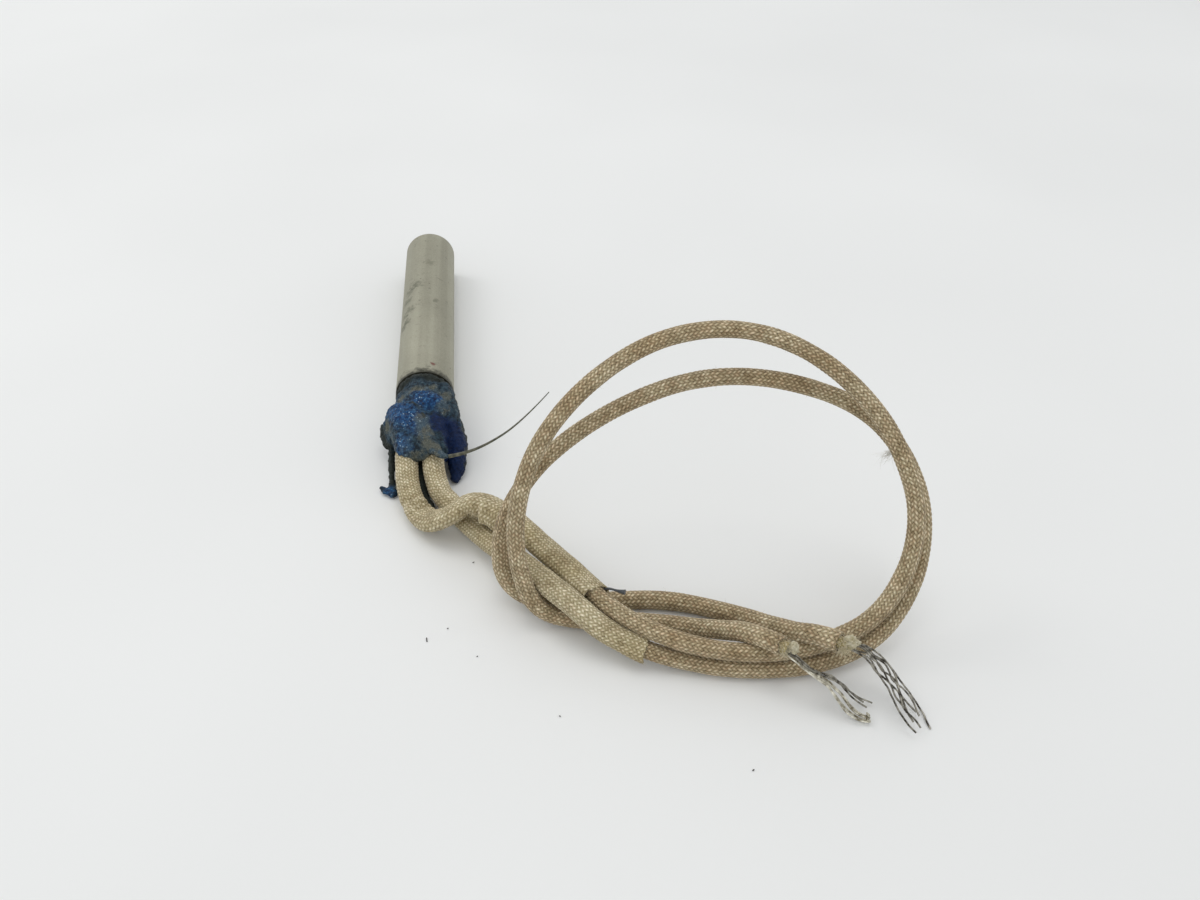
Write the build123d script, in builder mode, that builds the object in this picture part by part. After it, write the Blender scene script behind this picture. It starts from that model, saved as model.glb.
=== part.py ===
"""Flame sensor probe: a closed steel sheath with a wound sensing element inside, sealed at its
mouth with blue silicone, and two woven-glass leads that end in bare strands.

Frame: the origin is the centre of the sheath's open end. +Y runs along the sheath to its closed
tip and +Z is up. The probe lies on a flat surface that touches the sheath from below, and the
heights of the cords are given from that surface. All sizes are in millimetres.
"""
import os
from math import cos, pi, radians, sin, tan

from build123d import *

os.makedirs("parts", exist_ok=True)

# Sheath
SHEATH_DIAMETER = 12.7
SHEATH_LENGTH = 66.4
SHEATH_WALL = 0.7
TIP_THICKNESS = 1.4
TIP_EDGE_RADIUS = 1.1
SPIGOT_DEPTH = 1.0
SHEATH_RADIUS = SHEATH_DIAMETER / 2
BORE_RADIUS = SHEATH_RADIUS - SHEATH_WALL
FLOOR = -SHEATH_RADIUS

# Sensing element, counted back from the tip
SPACER_THICKNESS = 2.5
SPACER_START = SHEATH_LENGTH - TIP_THICKNESS - SPIGOT_DEPTH - SPACER_THICKNESS
CORE_RADIUS = 3.1
CORE_LENGTH = 29.0
CORE_START = SPACER_START - CORE_LENGTH
WINDING_WIRE = 0.3
WINDING_PITCH = 1.8
WINDING_MARGIN = 2.5
COVER_INNER_RADIUS = 3.55
COVER_OUTER_RADIUS = 4.1

# Element pins, their ceramic beads and the splices to the leads
PIN_SPACING = 4.6
PIN_RADIUS = 0.4
PIN_IN_CORE = 2.0
PIN_END = 12.0
BEAD_COUNT = 3
BEAD_LENGTH = 4.0
BEAD_PITCH = 4.3
BEAD_BORE_RADIUS = 0.5
SPLICE_RADIUS = 1.1
SPLICE_START = 7.5
SPLICE_END = 16.0
SPLICE_STOP = 11.5
PLUG_LENGTH = 5.0

# Leads: stranded conductor, woven-glass insulation, and a wider woven-glass sleeve near the probe
LEAD_DIAMETER = 3.1
CONDUCTOR_DIAMETER = 1.2
SLEEVE_DIAMETER = 4.4
SLEEVE_BORE = 3.5
CONDUCTOR_IN_SPLICE = 5.5
INNER_LAYER_DIAMETER = 2.4
INNER_LAYER_LENGTH = 1.6

# Bare strands: one in the middle and six around it
STRAND_DIAMETER = 0.4
STRAND_SPACING = 0.42
STRANDS_AROUND = 6

# Cord routes: x, y and the height of the cord's centre above the surface. Each list starts in
# the sheath's mouth and ends where the insulation is stripped.
LEAD_A_ROUTE = [
    (-2.3, 6.0, 6.35), (-2.3, -1.0, 6.35), (-3.0, -11.0, 6.9), (-3.4, -21.0, 6.1),
    (-3.0, -28.3, 3.4), (-1.2, -33.8, 2.3), (1.7, -38.0, 3.0), (5.5, -39.8, 6.0),
    (10.8, -39.2, 9.4), (17.0, -43.1, 7.5), (22.8, -50.5, 6.4), (28.3, -58.6, 6.2),
    (34.0, -68.3, 6.7), (43.3, -75.0, 5.9), (54.3, -78.2, 4.8), (67.2, -77.8, 4.4),
    (80.3, -74.0, 7.4), (86.6, -66.9, 20.5), (82.8, -57.5, 33.0), (73.0, -49.0, 42.5),
    (60.0, -43.4, 47.1), (45.4, -42.2, 45.9), (32.6, -46.0, 40.6), (23.0, -51.5, 32.8),
    (18.2, -56.9, 23.0), (17.7, -59.9, 12.0), (20.4, -63.4, 3.2), (29.2, -65.2, 1.6),
    (39.5, -66.2, 1.6), (50.4, -70.2, 2.6), (56.7, -76.4, 8.2), (60.1, -80.4, 8.8),
]
LEAD_B_ROUTE = [
    (2.3, 6.0, 6.35), (2.3, -1.0, 6.35), (2.5, -11.5, 7.0), (1.8, -21.5, 5.8), (2.9, -28.4, 2.8),
    (6.1, -33.5, 2.3), (9.3, -38.6, 2.3), (13.8, -46.1, 3.6), (19.6, -55.1, 6.1),
    (25.7, -64.7, 7.7), (33.0, -71.8, 4.4), (44.3, -76.5, 1.7), (56.4, -79.4, 1.6),
    (69.5, -79.1, 1.6), (80.3, -75.1, 3.4), (87.4, -68.6, 12.3), (88.3, -59.8, 23.5),
    (81.2, -50.8, 33.0), (66.5, -45.8, 37.6), (51.8, -43.9, 38.1), (37.7, -44.9, 33.9),
    (25.4, -48.2, 27.7), (18.0, -52.5, 21.0), (14.9, -53.6, 12.5), (15.0, -56.4, 3.8),
    (22.0, -60.4, 1.6), (32.9, -60.6, 1.6), (45.0, -61.5, 1.6), (56.0, -66.0, 2.0),
    (63.2, -74.4, 7.0), (66.8, -78.2, 9.2), (69.6, -80.6, 8.8),
]
# Each sleeve runs from the middle of one run of its lead's route to the middle of another.
SLEEVE_A_RUNS = (1, 11)
SLEEVE_B_RUNS = (1, 10)

# Middle line of each fan of bare strands, and how far the strands stand apart at each point,
# as a multiple of their spacing inside the lead.
FAN_A_ROUTE = [(62.8, -83.2, 8.0), (65.6, -85.0, 6.2), (68.6, -86.6, 3.8), (72.3, -88.6, 2.0)]
FAN_A_SPREAD = [1.6, 2.0, 2.6, 3.0]
FAN_B_ROUTE = [(72.8, -82.4, 8.2), (75.3, -84.3, 6.6), (78.0, -87.8, 3.9), (80.2, -92.3, 2.5)]
FAN_B_SPREAD = [2.4, 3.8, 5.0, 5.0]

# Silicone lump: distance from the mouth, half width, lowest and highest point of each section
LUMP_SECTIONS = [
    (0.0, 6.3, -6.3, 6.3),
    (6.0, 7.3, -7.0, 7.0),
    (13.0, 8.6, -7.4, 7.4),
    (19.0, 7.6, -6.8, 6.8),
    (24.5, 4.0, -1.5, 4.6),
]
FLAP_OUTLINE = [(3.0, -13.0), (9.0, -12.5), (9.4, -21.0), (6.8, -27.0), (4.0, -24.5)]
FLAP_HEIGHT = 7.0
DRIP_OUTLINE = [(-9.2, -13.0), (-5.8, -13.0), (-5.4, -25.5), (-7.2, -27.6), (-9.4, -25.0)]
DRIP_HEIGHT = 2.4
CORNER_ROUNDING = 0.9
TAIL_ROUTE = [(3.4, -21.8, 8.6), (8.8, -24.8, 9.4), (14.2, -23.8, 10.2), (20.4, -18.8, 11.2),
              (27.2, -10.0, 12.4)]
TAIL_DIAMETER = 0.8


def route_points(route):
    """Route given by heights above the surface, as points of the part's frame."""
    return [Vector(x, y, FLOOR + height) for x, y, height in route]


def corner_radii(points):
    """Arc at each corner: it takes 0.45 of the shorter run beside the corner."""
    radii = []
    for before, corner, after in zip(points, points[1:], points[2:]):
        turn = radians((corner - before).get_angle(after - corner))
        shorter = min((corner - before).length, (after - corner).length)
        radii.append(0.45 * shorter / tan(turn / 2))
    return radii


def cord_solid(points, radii, diameter, bore=0.0):
    """Round cord or sleeve: a circle or ring swept along straight runs and tangent arcs."""
    with BuildPart() as cord:
        with BuildLine():
            path = FilletPolyline(*points, radius=radii)
        start = Plane(origin=points[0], z_dir=points[1] - points[0])
        with BuildSketch(start):
            Circle(diameter / 2)
            if bore:
                Circle(bore / 2, mode=Mode.SUBTRACT)
        sweep(path=path)
    expected = path.length * pi * (diameter**2 - bore**2) / 4
    print(f"  path {path.length:.1f} mm, volume / (section x length) {cord.part.volume / expected:.4f}")
    return cord.part


def stretch(points, radii, runs):
    """Part of a route between the middles of two of its runs, with its corner radii."""
    first, last = runs
    middle_first = (points[first] + points[first + 1]) / 2
    middle_last = (points[last] + points[last + 1]) / 2
    inner = points[first + 1:last + 1]
    return [middle_first, *inner, middle_last], radii[first:last]


def strand_offsets():
    """Places of the strands in a lead's section: one in the middle and a ring around it."""
    ring = [
        (STRAND_SPACING * cos(radians(60 * k)), STRAND_SPACING * sin(radians(60 * k)))
        for k in range(STRANDS_AROUND)
    ]
    return [(0.0, 0.0), *ring]


def strand_points(tip, heading, fan, spreads, offset):
    """Points of one bare strand: straight out of the lead, then apart from the others."""
    side = heading.cross(Vector(0, 0, 1)).normalized()
    up = side.cross(heading).normalized()
    shift = side * offset[0] + up * offset[1]
    points = [tip + shift, tip + heading * INNER_LAYER_LENGTH * 1.2 + shift]
    for middle, spread in zip(fan, spreads):
        points.append(middle + side * offset[0] * spread + Vector(0, 0, 1) * offset[1] * spread)
    return points


# ---------------------------------------------------------------- sheath
with BuildPart() as sheath_tube:
    with BuildSketch(Plane.XZ):
        Circle(SHEATH_RADIUS)
        Circle(BORE_RADIUS, mode=Mode.SUBTRACT)
    extrude(amount=-(SHEATH_LENGTH - TIP_THICKNESS))
sheath_tube.part.label = "sheath_tube"
export_step(sheath_tube.part, "parts/sheath_tube.step")

with BuildPart() as sheath_end_disc:
    with BuildSketch(Plane.XZ.offset(-(SHEATH_LENGTH - TIP_THICKNESS))):
        Circle(SHEATH_RADIUS)
    extrude(amount=-TIP_THICKNESS)
    fillet(sheath_end_disc.edges().sort_by(Axis.Y)[-1], TIP_EDGE_RADIUS)
    with BuildSketch(Plane.XZ.offset(-(SHEATH_LENGTH - TIP_THICKNESS))):
        Circle(BORE_RADIUS)
    extrude(amount=SPIGOT_DEPTH)
sheath_end_disc.part.label = "sheath_end_disc"
export_step(sheath_end_disc.part, "parts/sheath_end_disc.step")

# ---------------------------------------------------------------- sensing element
with BuildPart() as tip_spacer:
    with BuildSketch(Plane.XZ.offset(-SPACER_START)):
        Circle(BORE_RADIUS)
    extrude(amount=-SPACER_THICKNESS)
tip_spacer.part.label = "tip_spacer"
export_step(tip_spacer.part, "parts/tip_spacer.step")

with BuildPart() as element_core:
    with BuildSketch(Plane.XZ.offset(-CORE_START)):
        Circle(CORE_RADIUS)
    extrude(amount=-CORE_LENGTH)
    with BuildSketch(Plane.XZ.offset(-CORE_START)):
        with GridLocations(PIN_SPACING, 0, 2, 1):
            Circle(PIN_RADIUS)
    extrude(amount=-PIN_IN_CORE, mode=Mode.SUBTRACT)
element_core.part.label = "element_core"
export_step(element_core.part, "parts/element_core.step")

winding_radius = CORE_RADIUS + WINDING_WIRE / 2 + 0.02
winding_start = CORE_START + WINDING_MARGIN
with BuildPart() as element_winding:
    with BuildLine() as winding_path:
        Helix(
            pitch=WINDING_PITCH,
            height=CORE_LENGTH - 2 * WINDING_MARGIN,
            radius=winding_radius,
            center=(0, winding_start, 0),
            direction=(0, 1, 0),
        )
    with BuildSketch(Plane(origin=winding_path.line @ 0, z_dir=winding_path.line % 0)):
        Circle(WINDING_WIRE / 2)
    sweep(path=winding_path.line, is_frenet=True)
element_winding.part.label = "element_winding"
export_step(element_winding.part, "parts/element_winding.step")

with BuildPart() as element_cover:
    with BuildSketch(Plane.XZ.offset(-CORE_START)):
        Circle(COVER_OUTER_RADIUS)
        Circle(COVER_INNER_RADIUS, mode=Mode.SUBTRACT)
    extrude(amount=-CORE_LENGTH)
element_cover.part.label = "element_cover"
export_step(element_cover.part, "parts/element_cover.step")

for side, name in ((-1, "element_pin_a"), (1, "element_pin_b")):
    with BuildPart() as element_pin:
        with BuildSketch(Plane.XZ.offset(-PIN_END)):
            with Locations((side * PIN_SPACING / 2, 0)):
                Circle(PIN_RADIUS)
        extrude(amount=-(CORE_START + PIN_IN_CORE - PIN_END))
    element_pin.part.label = name
    export_step(element_pin.part, f"parts/{name}.step")

first_bead = CORE_START - BEAD_COUNT * BEAD_PITCH
for number in range(BEAD_COUNT):
    bead_start = first_bead + number * BEAD_PITCH
    with BuildPart() as insulator_bead:
        with BuildSketch(Plane.XZ.offset(-bead_start)):
            Circle(COVER_OUTER_RADIUS)
            with GridLocations(PIN_SPACING, 0, 2, 1):
                Circle(BEAD_BORE_RADIUS, mode=Mode.SUBTRACT)
        extrude(amount=-BEAD_LENGTH)
        ends = insulator_bead.edges().filter_by(GeomType.CIRCLE).group_by(SortBy.RADIUS)[-1]
        chamfer(ends, 0.3)
    insulator_bead.part.label = f"insulator_bead_{number + 1}"
    export_step(insulator_bead.part, f"parts/insulator_bead_{number + 1}.step")

with BuildPart() as oxide_packing:
    with BuildSketch(Plane.XZ.offset(-first_bead)):
        Circle(BORE_RADIUS)
        Circle(COVER_OUTER_RADIUS, mode=Mode.SUBTRACT)
    extrude(amount=-(SPACER_START - first_bead))
oxide_packing.part.label = "oxide_packing"
export_step(oxide_packing.part, "parts/oxide_packing.step")

for side, name in ((-1, "splice_barrel_a"), (1, "splice_barrel_b")):
    centre = (side * PIN_SPACING / 2, 0)
    with BuildPart() as splice_barrel:
        with BuildSketch(Plane.XZ.offset(-SPLICE_START)):
            with Locations(centre):
                Circle(SPLICE_RADIUS)
        extrude(amount=-(SPLICE_END - SPLICE_START))
        with BuildSketch(Plane.XZ.offset(-SPLICE_START)):
            with Locations(centre):
                Circle(CONDUCTOR_DIAMETER / 2 + 0.1)
        extrude(amount=-(SPLICE_STOP - SPLICE_START), mode=Mode.SUBTRACT)
        with BuildSketch(Plane.XZ.offset(-PIN_END)):
            with Locations(centre):
                Circle(PIN_RADIUS)
        extrude(amount=-(SPLICE_END - PIN_END), mode=Mode.SUBTRACT)
    splice_barrel.part.label = name
    export_step(splice_barrel.part, f"parts/{name}.step")

# ---------------------------------------------------------------- leads and sleeves
channels = []
for letter, route, runs, fan, spreads in (
    ("a", LEAD_A_ROUTE, SLEEVE_A_RUNS, FAN_A_ROUTE, FAN_A_SPREAD),
    ("b", LEAD_B_ROUTE, SLEEVE_B_RUNS, FAN_B_ROUTE, FAN_B_SPREAD),
):
    points = route_points(route)
    radii = corner_radii(points)
    print(f"lead_{letter} radii", [round(radius, 1) for radius in radii])
    heading = (points[-1] - points[-2]).normalized()

    lead = cord_solid(points, radii, LEAD_DIAMETER, CONDUCTOR_DIAMETER + 0.02)
    lead.label = f"lead_{letter}"
    export_step(lead, f"parts/lead_{letter}.step")

    back = (points[0] - points[1]).normalized() * CONDUCTOR_IN_SPLICE
    core_points = [points[0] + back, *points[1:]]
    conductor = cord_solid(core_points, radii, CONDUCTOR_DIAMETER)
    conductor.label = f"conductor_{letter}"
    export_step(conductor, f"parts/conductor_{letter}.step")

    sleeve_points, sleeve_radii = stretch(points, radii, runs)
    sleeve = cord_solid(sleeve_points, sleeve_radii, SLEEVE_DIAMETER, SLEEVE_BORE)
    sleeve.label = f"sleeve_{letter}"
    export_step(sleeve, f"parts/sleeve_{letter}.step")
    channels.append(cord_solid(sleeve_points, sleeve_radii, SLEEVE_DIAMETER))
    channels.append(cord_solid(points[:5], radii[:3], LEAD_DIAMETER))

    tip = points[-1]
    with BuildPart() as inner_layer:
        with BuildSketch(Plane(origin=tip, z_dir=heading)):
            Circle(INNER_LAYER_DIAMETER / 2)
            Circle(STRAND_SPACING + STRAND_DIAMETER / 2 + 0.02, mode=Mode.SUBTRACT)
        extrude(amount=INNER_LAYER_LENGTH)
    inner_layer.part.label = f"lead_{letter}_inner_layer"
    export_step(inner_layer.part, f"parts/lead_{letter}_inner_layer.step")

    fan_points = route_points(fan)
    for number, offset in enumerate(strand_offsets(), start=1):
        wire = strand_points(tip, heading, fan_points, spreads, offset)
        strand = cord_solid(wire, corner_radii(wire), STRAND_DIAMETER)
        strand.label = f"lead_{letter}_strand_{number}"
        export_step(strand, f"parts/lead_{letter}_strand_{number}.step")

# ---------------------------------------------------------------- seals
with BuildPart() as mouth_plug:
    with BuildSketch(Plane.XZ):
        Circle(BORE_RADIUS)
    extrude(amount=-PLUG_LENGTH)
    add(channels, mode=Mode.SUBTRACT)
mouth_plug.part.label = "mouth_plug"
export_step(mouth_plug.part, "parts/mouth_plug.step")

with BuildPart() as silicone_potting:
    for distance, half_width, low, high in LUMP_SECTIONS:
        with BuildSketch(Plane.XZ.offset(distance)):
            with Locations((0, (high + low) / 2)):
                Ellipse(half_width, (high - low) / 2)
    loft()
    for outline, height in ((FLAP_OUTLINE, FLAP_HEIGHT), (DRIP_OUTLINE, DRIP_HEIGHT)):
        with BuildSketch(Plane.XY.offset(FLOOR)) as foot:
            Polygon(*outline, align=None)
            fillet(foot.vertices(), CORNER_ROUNDING)
        extrude(amount=height)
    split(bisect_by=Plane.XY.offset(FLOOR), keep=Keep.TOP)
    add(channels, mode=Mode.SUBTRACT)
silicone_potting.part.label = "silicone_potting"
export_step(silicone_potting.part, "parts/silicone_potting.step")

tail_points = route_points(TAIL_ROUTE)
silicone_tail = cord_solid(tail_points, corner_radii(tail_points), TAIL_DIAMETER)
silicone_tail -= silicone_potting.part
silicone_tail.label = "silicone_tail"
export_step(silicone_tail, "parts/silicone_tail.step")
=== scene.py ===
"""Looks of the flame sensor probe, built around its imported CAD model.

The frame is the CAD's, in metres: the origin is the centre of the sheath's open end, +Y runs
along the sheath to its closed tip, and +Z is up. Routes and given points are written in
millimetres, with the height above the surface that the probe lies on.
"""
import math
from collections import namedtuple

import bmesh
import bpy
import numpy as np
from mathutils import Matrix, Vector, noise


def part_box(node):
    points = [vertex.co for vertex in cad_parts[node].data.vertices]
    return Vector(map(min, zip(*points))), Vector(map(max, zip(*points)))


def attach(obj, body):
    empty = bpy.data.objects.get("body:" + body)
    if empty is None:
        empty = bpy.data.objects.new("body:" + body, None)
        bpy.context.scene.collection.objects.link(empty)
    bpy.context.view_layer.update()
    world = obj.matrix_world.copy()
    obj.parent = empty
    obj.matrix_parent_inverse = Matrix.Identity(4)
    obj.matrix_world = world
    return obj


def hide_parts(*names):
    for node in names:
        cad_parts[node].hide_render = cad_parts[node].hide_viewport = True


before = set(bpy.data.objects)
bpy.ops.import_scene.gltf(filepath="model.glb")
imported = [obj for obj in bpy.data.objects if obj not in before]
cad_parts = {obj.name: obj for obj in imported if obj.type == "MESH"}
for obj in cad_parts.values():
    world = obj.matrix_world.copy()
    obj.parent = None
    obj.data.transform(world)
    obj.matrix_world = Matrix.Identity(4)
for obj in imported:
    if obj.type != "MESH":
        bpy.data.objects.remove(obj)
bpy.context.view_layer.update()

MM = 0.001
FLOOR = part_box("sheath_tube")[0].z

# ------ camera and light
CAMERA_AIM = (37.3, -15.6, 0.0)
CAMERA_AZIMUTH = math.radians(6.4)
CAMERA_ELEVATION = math.radians(39.0)
CAMERA_DISTANCE = 216.9
CAMERA_LENS = 30.0
CAMERA_SENSOR = 36.0
CAMERA_NEAREST = 5.0
LIGHT_AIM = (20, -20, 0)
LIGHT_POWER = 0.95
ROOM_STRENGTH = 0.8

# ------ cords
ROUTE_ORDER = 3
LEAD_A_LENGTH, LEAD_B_LENGTH = 0.325, 0.33  # in metres
# A braid: yarns each way, their pitch, how many one passes over, height of the relief, thickness of
# the wall, and for the mesh the step between rings of vertices, how many there are in a ring, and how
# many rings turn back inside the far end.
Braid = namedtuple("Braid", "yarns pitch floats relief wall step around lining")
LEAD_BRAID = Braid(16, 0.86 * MM, 2, 0.14 * MM, 0.4 * MM, 0.2 * MM, 58, 12)
SLEEVE_BRAID = Braid(22, 0.8 * MM, 2, 0.12 * MM, 0.3 * MM, 0.16 * MM, 90, 50)
INNER_BRAID = Braid(9, 0.8 * MM, 1, 0.1 * MM, 0.3 * MM, 0.12 * MM, 40, 8)
# In millimetres: radii, then an inner layer's length and how far it is set back into its lead.
SLEEVE_THINNEST, INNER_RADIUS, CONDUCTOR_RADIUS = 1.66, 1.08, 0.6
FUZZ_RADIUS, RIM_FIBRE_RADIUS, TUFT_RADIUS, FIBRE_SUNK = 0.016, 0.022, 0.045, 0.05
DULL_A_RADIUS, BRIGHT_A_RADIUS, STRAND_B_RADIUS = 0.15, 0.16, 0.16
INNER_LENGTH, INNER_SET_BACK = 2.3, 1.2
LEAD_A_ROUTE = [
    (-2.3, 6.0, 6.35), (-2.3, -1.0, 6.35), (-3.0, -11.0, 6.9), (-3.4, -21.0, 6.1), (-3.0, -28.3, 3.4),
    (-1.2, -33.8, 2.3), (1.7, -38.0, 3.0), (5.5, -39.8, 6.0), (10.8, -39.2, 9.4), (17.0, -43.1, 7.5),
    (22.8, -50.5, 6.4), (28.3, -58.6, 6.2), (34.0, -68.3, 6.7), (43.3, -75.0, 5.9), (54.3, -78.2, 4.8),
    (67.2, -77.8, 4.4), (80.3, -74.0, 7.4), (86.6, -66.9, 20.5), (82.8, -57.5, 33.0),
    (73.0, -49.0, 42.5), (60.0, -43.4, 47.1), (45.4, -42.2, 45.9), (32.6, -46.0, 40.6),
    (23.0, -51.5, 32.8), (18.2, -56.9, 23.0), (17.7, -59.9, 12.0), (20.4, -63.4, 3.2),
    (29.2, -65.2, 1.6), (39.5, -66.2, 1.6), (50.4, -70.2, 2.6), (56.7, -76.4, 8.2), (60.1, -80.4, 8.8),
]
LEAD_B_ROUTE = [
    (2.3, 6.0, 6.35), (2.3, -1.0, 6.35), (2.5, -11.5, 7.0), (1.8, -21.5, 5.8), (2.9, -28.4, 2.8),
    (6.1, -33.5, 2.3), (9.3, -38.6, 2.3), (13.8, -46.1, 3.6), (19.6, -55.1, 6.1), (25.7, -64.7, 7.7),
    (33.0, -71.7, 4.4), (44.2, -76.0, 1.8), (56.4, -79.3, 1.6), (69.5, -79.1, 1.6), (80.3, -75.1, 3.4),
    (87.4, -68.6, 12.3), (88.3, -59.8, 23.5), (81.2, -50.8, 33.0), (66.5, -45.8, 37.6),
    (51.8, -43.9, 38.1), (37.7, -44.9, 33.9), (25.4, -48.2, 27.7), (18.0, -52.5, 21.0),
    (14.9, -53.6, 12.5), (15.0, -56.4, 3.8), (22.0, -60.4, 1.6), (32.9, -60.6, 1.6), (45.0, -61.6, 1.6),
    (55.8, -66.6, 1.8), (63.2, -75.3, 6.2), (66.8, -78.4, 8.6), (69.6, -80.6, 8.8),
]
# A sleeve runs from the middle of one run of its lead's route to the middle of another.
SLEEVE_A_RUNS = (1, 11)
SLEEVE_B_RUNS = (1, 10)
# Size along a cord: share of its length, and size. Inside its sleeve a lead is squeezed thinner.
LEAD_A_THICKNESS = [
    (0.0, 2.7), (0.2, 2.7), (0.24, 3.15), (0.45, 3.1), (0.6, 2.9), (0.78, 3.0), (0.9, 3.1), (1.0, 3.4),
]
LEAD_B_THICKNESS = [
    (0.0, 2.7), (0.22, 2.7), (0.26, 3.1), (0.45, 3.1), (0.6, 2.9), (0.78, 3.0), (0.9, 3.3), (0.98, 3.3),
    (1.0, 3.7),
]
SLEEVE_A_WIDTH = [
    (0.0, 4.4), (0.34, 4.7), (0.44, 5.5), (0.52, 5.7), (0.58, 5.4), (0.65, 5.9), (0.74, 5.0),
    (0.85, 5.2), (1.0, 5.9),
]
SLEEVE_A_HEIGHT = [(0.0, 4.4), (0.34, 4.3), (0.44, 3.7), (0.52, 3.6), (0.6, 4.1), (0.75, 4.3), (1.0, 3.7)]
SLEEVE_B_WIDTH = [(0.0, 4.4), (0.6, 4.5), (0.85, 4.3), (0.94, 4.2), (1.0, 4.9)]
SLEEVE_B_HEIGHT = [(0.0, 4.4), (0.6, 4.4), (0.85, 4.1), (0.94, 3.9), (1.0, 4.2)]
# Folds and dents in a sleeve: share of its length, angle round it (0 right of the way the cord
# runs, 90 on top, 180 left), depth, length and breadth in millimetres.
SLEEVE_A_DENTS = [
    (0.372, 165, 0.9, 0.55, 3.4), (0.395, 100, 0.45, 0.6, 3.0), (0.43, 190, 0.5, 0.9, 2.5),
    (0.345, 60, 0.3, 0.8, 2.6), (0.60, -4, 1.0, 0.6, 1.8), (0.612, -62, -1.5, 1.8, 2.6),
    (0.66, -50, -1.5, 2.6, 2.4), (0.555, 20, 0.35, 0.8, 2.4), (0.97, 60, 0.35, 2.2, 1.4),
    (0.5, 120, 0.25, 1.2, 2.0),
]
SLEEVE_B_DENTS = [
    (0.3, 70, 0.35, 1.0, 2.2), (0.42, 120, 0.25, 1.4, 2.4), (0.7, 90, 0.2, 1.6, 2.0),
    (0.96, 40, 0.35, 2.0, 1.3),
]


# ------ small helpers
def place(x, y, height):
    """Point given in millimetres, its height counted from the surface, in the frame's metres."""
    return Vector((x * MM, y * MM, FLOOR + height * MM))


def unit(vectors):
    return vectors / np.linalg.norm(vectors, axis=-1, keepdims=True)


def nurbs(data, points, order):
    """A NURBS spline that runs from its first point to its last."""
    spline = data.splines.new("NURBS")
    spline.points.add(len(points) - 1)
    for point, position in zip(spline.points, points):
        point.co = (*position, 1)
    spline.order_u = order
    spline.use_endpoint_u = True
    return spline


def route_line(route):
    """Points along the smooth line of a route, which its points steer."""
    data = bpy.data.curves.new("route", "CURVE")
    data.dimensions = "3D"
    data.resolution_u = 64
    nurbs(data, [place(*position) for position in route], ROUTE_ORDER)
    holder = bpy.data.objects.new("route", data)
    mesh = bpy.data.meshes.new_from_object(holder)
    line = np.array([vertex.co[:] for vertex in mesh.vertices])
    bpy.data.meshes.remove(mesh)
    bpy.data.objects.remove(holder)
    bpy.data.curves.remove(data)
    return line


def evenly(line, step):
    """The same line with points an even step apart."""
    along = np.concatenate([[0.0], np.cumsum(np.linalg.norm(np.diff(line, axis=0), axis=1))])
    wanted = np.linspace(0, along[-1], max(2, round(along[-1] / step) + 1))
    return np.stack([np.interp(wanted, along, line[:, axis]) for axis in range(3)], axis=1)


def stretch(line, route, runs):
    """Part of a lead's line between the middles of two runs of its route."""
    ends = [(place(*route[run]) + place(*route[run + 1])) / 2 for run in runs]
    first, last = (int(np.argmin(np.linalg.norm(line - np.array(end), axis=1))) for end in ends)
    return line[first:last + 1]


def directions(line):
    """Unit side and up at each point. Up turns as little as it can along the line."""
    tangent = unit(np.gradient(line, axis=0))
    up, ups = np.array([0.0, 0.0, 1.0]), []
    for heading in tangent:
        up = up - heading * up.dot(heading)
        up = up / np.linalg.norm(up)
        ups.append(up)
    up = np.array(ups)
    return np.cross(tangent, up), up


def in_scene(name, data):
    obj = bpy.data.objects.new(name, data)
    bpy.context.scene.collection.objects.link(obj)
    return obj


def smooth_piece(name, mesh, material):
    """A piece with smooth shading and one material."""
    mesh.polygons.foreach_set("use_smooth", [True] * len(mesh.polygons))
    mesh.materials.clear()
    mesh.materials.append(material)
    return in_scene(name, mesh)


def mesh_object(name, vertices, faces, material):
    mesh = bpy.data.meshes.new(name)
    mesh.from_pydata([tuple(v) for v in vertices], [], [tuple(f) for f in faces])
    mesh.validate()
    return smooth_piece(name, mesh, material)


def settle(obj, node):
    """The piece rides on the probe's one body and stands for a CAD node."""
    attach(obj, "root")
    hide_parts(node)
    return obj


def tube_faces(rings, around):
    """Faces between rings of vertices, pointing outwards when the rings run along the tube."""
    index = np.arange(rings * around).reshape(rings, around)
    beside = np.roll(index, -1, axis=1)
    return np.stack([index[:-1], index[1:], beside[1:], beside[:-1]], axis=-1).reshape(-1, 4)


def wires(name, material, lines, radius, tapered=False):
    """Thin round wires or fibres, each a smooth line that its own few points steer."""
    data = bpy.data.curves.new(name, "CURVE")
    data.dimensions = "3D"
    data.resolution_u = 5
    data.bevel_depth = radius
    data.bevel_resolution = 3 if radius > 0.1 * MM else 0
    data.use_fill_caps = True
    lowest = FLOOR + radius
    for line in lines:
        spline = nurbs(data, [(x, y, max(z, lowest)) for x, y, z in line], min(4, len(line)))
        spline.use_smooth = True
        for number, point in enumerate(spline.points):
            if tapered:
                point.radius = 1.0 - 0.75 * number / (len(line) - 1)
    data.materials.append(material)
    return in_scene(name, data)


# ------ materials
def colour(red, green, blue):
    """Screen colour, 0 to 255, as the linear colour that shaders use."""
    shares = [value / 255 for value in (red, green, blue)]
    linear = [s / 12.92 if s <= 0.04045 else ((s + 0.055) / 1.055) ** 2.4 for s in shares]
    return (*linear, 1.0)


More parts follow.
